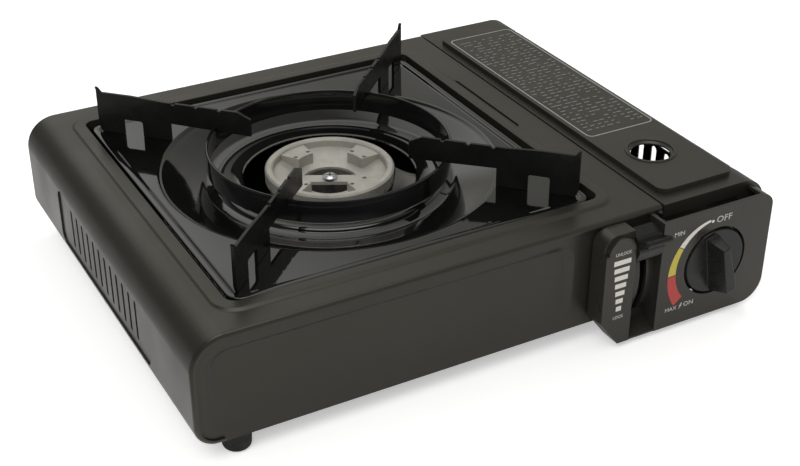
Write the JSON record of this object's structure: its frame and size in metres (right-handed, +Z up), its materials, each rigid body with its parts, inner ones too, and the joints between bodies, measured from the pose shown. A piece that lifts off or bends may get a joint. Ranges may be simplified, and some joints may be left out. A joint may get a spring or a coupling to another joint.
{
  "type": "butane cassette stove",
  "caption": "Tabletop gas stove with a sheet-metal case, lift-off drip tray and pan support, cast burner, hinged cartridge lid, control knob and lock lever.",
  "frame": {"origin": "centre of the bounding box at table height", "axes": "+X to the right across the front, +Y from the control panel to the back, +Z up"},
  "size_m": [0.343, 0.2916, 0.1017],
  "materials": {
    "body_paint": "satin powder coat",
    "lid_paint": "satin powder coat",
    "zinc_steel": "zinc plated",
    "lever_steel": "zinc plated",
    "rubber_foot": "matte",
    "panel_plastic": "satin",
    "knob_plastic": "gloss",
    "valve_brass": "machined",
    "governor_alloy": "cast",
    "seal_rubber": "matte",
    "copper_pipe": "drawn tube",
    "cast_alloy": "cast, fine grain",
    "white_ceramic": "glazed",
    "lead_silicone": "matte",
    "igniter_plastic": "matte",
    "black_enamel": "gloss vitreous enamel"
  },
  "bodies": {
    "stove": {"body_shell": "body_paint", "front_plate": "body_paint", "back_plate": "body_paint", "base_plate": "body_paint", "partition_plate": "zinc_steel", "foot_front_left": "rubber_foot", "foot_front_right": "rubber_foot", "foot_rear_left": "rubber_foot", "foot_rear_right": "rubber_foot", "control_panel": "panel_plastic", "panel_screws": "zinc_steel", "case_screws": "zinc_steel", "valve_body": "valve_brass", "governor_cover": "governor_alloy", "inlet_seat": "valve_brass", "inlet_seal": "seal_rubber", "cartridge_guide": "zinc_steel", "gas_pipe": "copper_pipe", "jet_nozzle": "valve_brass", "mixing_tube": "cast_alloy", "burner_body": "cast_alloy", "burner_cap": "cast_alloy", "burner_screw": "zinc_steel", "burner_bracket": "zinc_steel", "electrode": "zinc_steel", "electrode_insulator": "white_ceramic", "electrode_bracket": "zinc_steel", "ignition_lead": "lead_silicone", "piezo_igniter": "igniter_plastic", "lever_bracket": "zinc_steel", "lever_pivot": "zinc_steel", "hinge_bracket_front": "body_paint", "hinge_bracket_rear": "body_paint", "hinge_pin_front": "zinc_steel", "hinge_pin_rear": "zinc_steel"},
    "lid": {"cartridge_lid": "lid_paint"},
    "knob": {"control_knob": "knob_plastic", "valve_spindle": "valve_brass", "igniter_cam": "knob_plastic"},
    "plunger": {"piezo_plunger": "igniter_plastic"},
    "lever": {"lock_lever": "lever_steel", "lever_knob": "knob_plastic"},
    "slide": {"cartridge_slide": "zinc_steel"},
    "tray": {"drip_tray": "black_enamel"},
    "pan_support": {"support_ring": "black_enamel", "support_arm_1": "black_enamel", "support_arm_2": "black_enamel", "support_arm_3": "black_enamel", "support_arm_4": "black_enamel"}
  },
  "joints": [
    {"name": "lid_hinge", "type": "hinge", "parent": "stove", "child": "lid", "pos_m": [0.1635, 0, 0.06], "axis": [0, 1, 0], "range_deg": [0, 105]},
    {"name": "knob_turn", "type": "hinge", "parent": "stove", "child": "knob", "pos_m": [0.1297, -0.1301, 0.0389], "axis": [0, -1, 0], "range_deg": [0, 145]},
    {"name": "piezo_press", "type": "slide", "parent": "stove", "child": "plunger", "axis": [0, 1, 0], "range_m": [0, 0.0041]},
    {"name": "lever_turn", "type": "hinge", "parent": "stove", "child": "lever", "pos_m": [0.0845, -0.0802, 0.038], "axis": [1, 0, 0], "range_deg": [0, 46]},
    {"name": "slide_push", "type": "slide", "parent": "stove", "child": "slide", "axis": [0, -1, 0], "range_m": [0, 0.0091]},
    {"name": "tray_lift", "type": "slide", "parent": "stove", "child": "tray", "axis": [0, 0, 1], "range_m": [0, 0.06]},
    {"name": "support_lift", "type": "slide", "parent": "tray", "child": "pan_support", "axis": [0, 0, 1], "range_m": [0, 0.06]}
  ],
  "couplings": [
    {"joint": "piezo_press", "follows": "knob_turn", "m_per_rad": 0.00158},
    {"joint": "slide_push", "follows": "lever_turn", "m_per_rad": 0.01121}
  ]
}
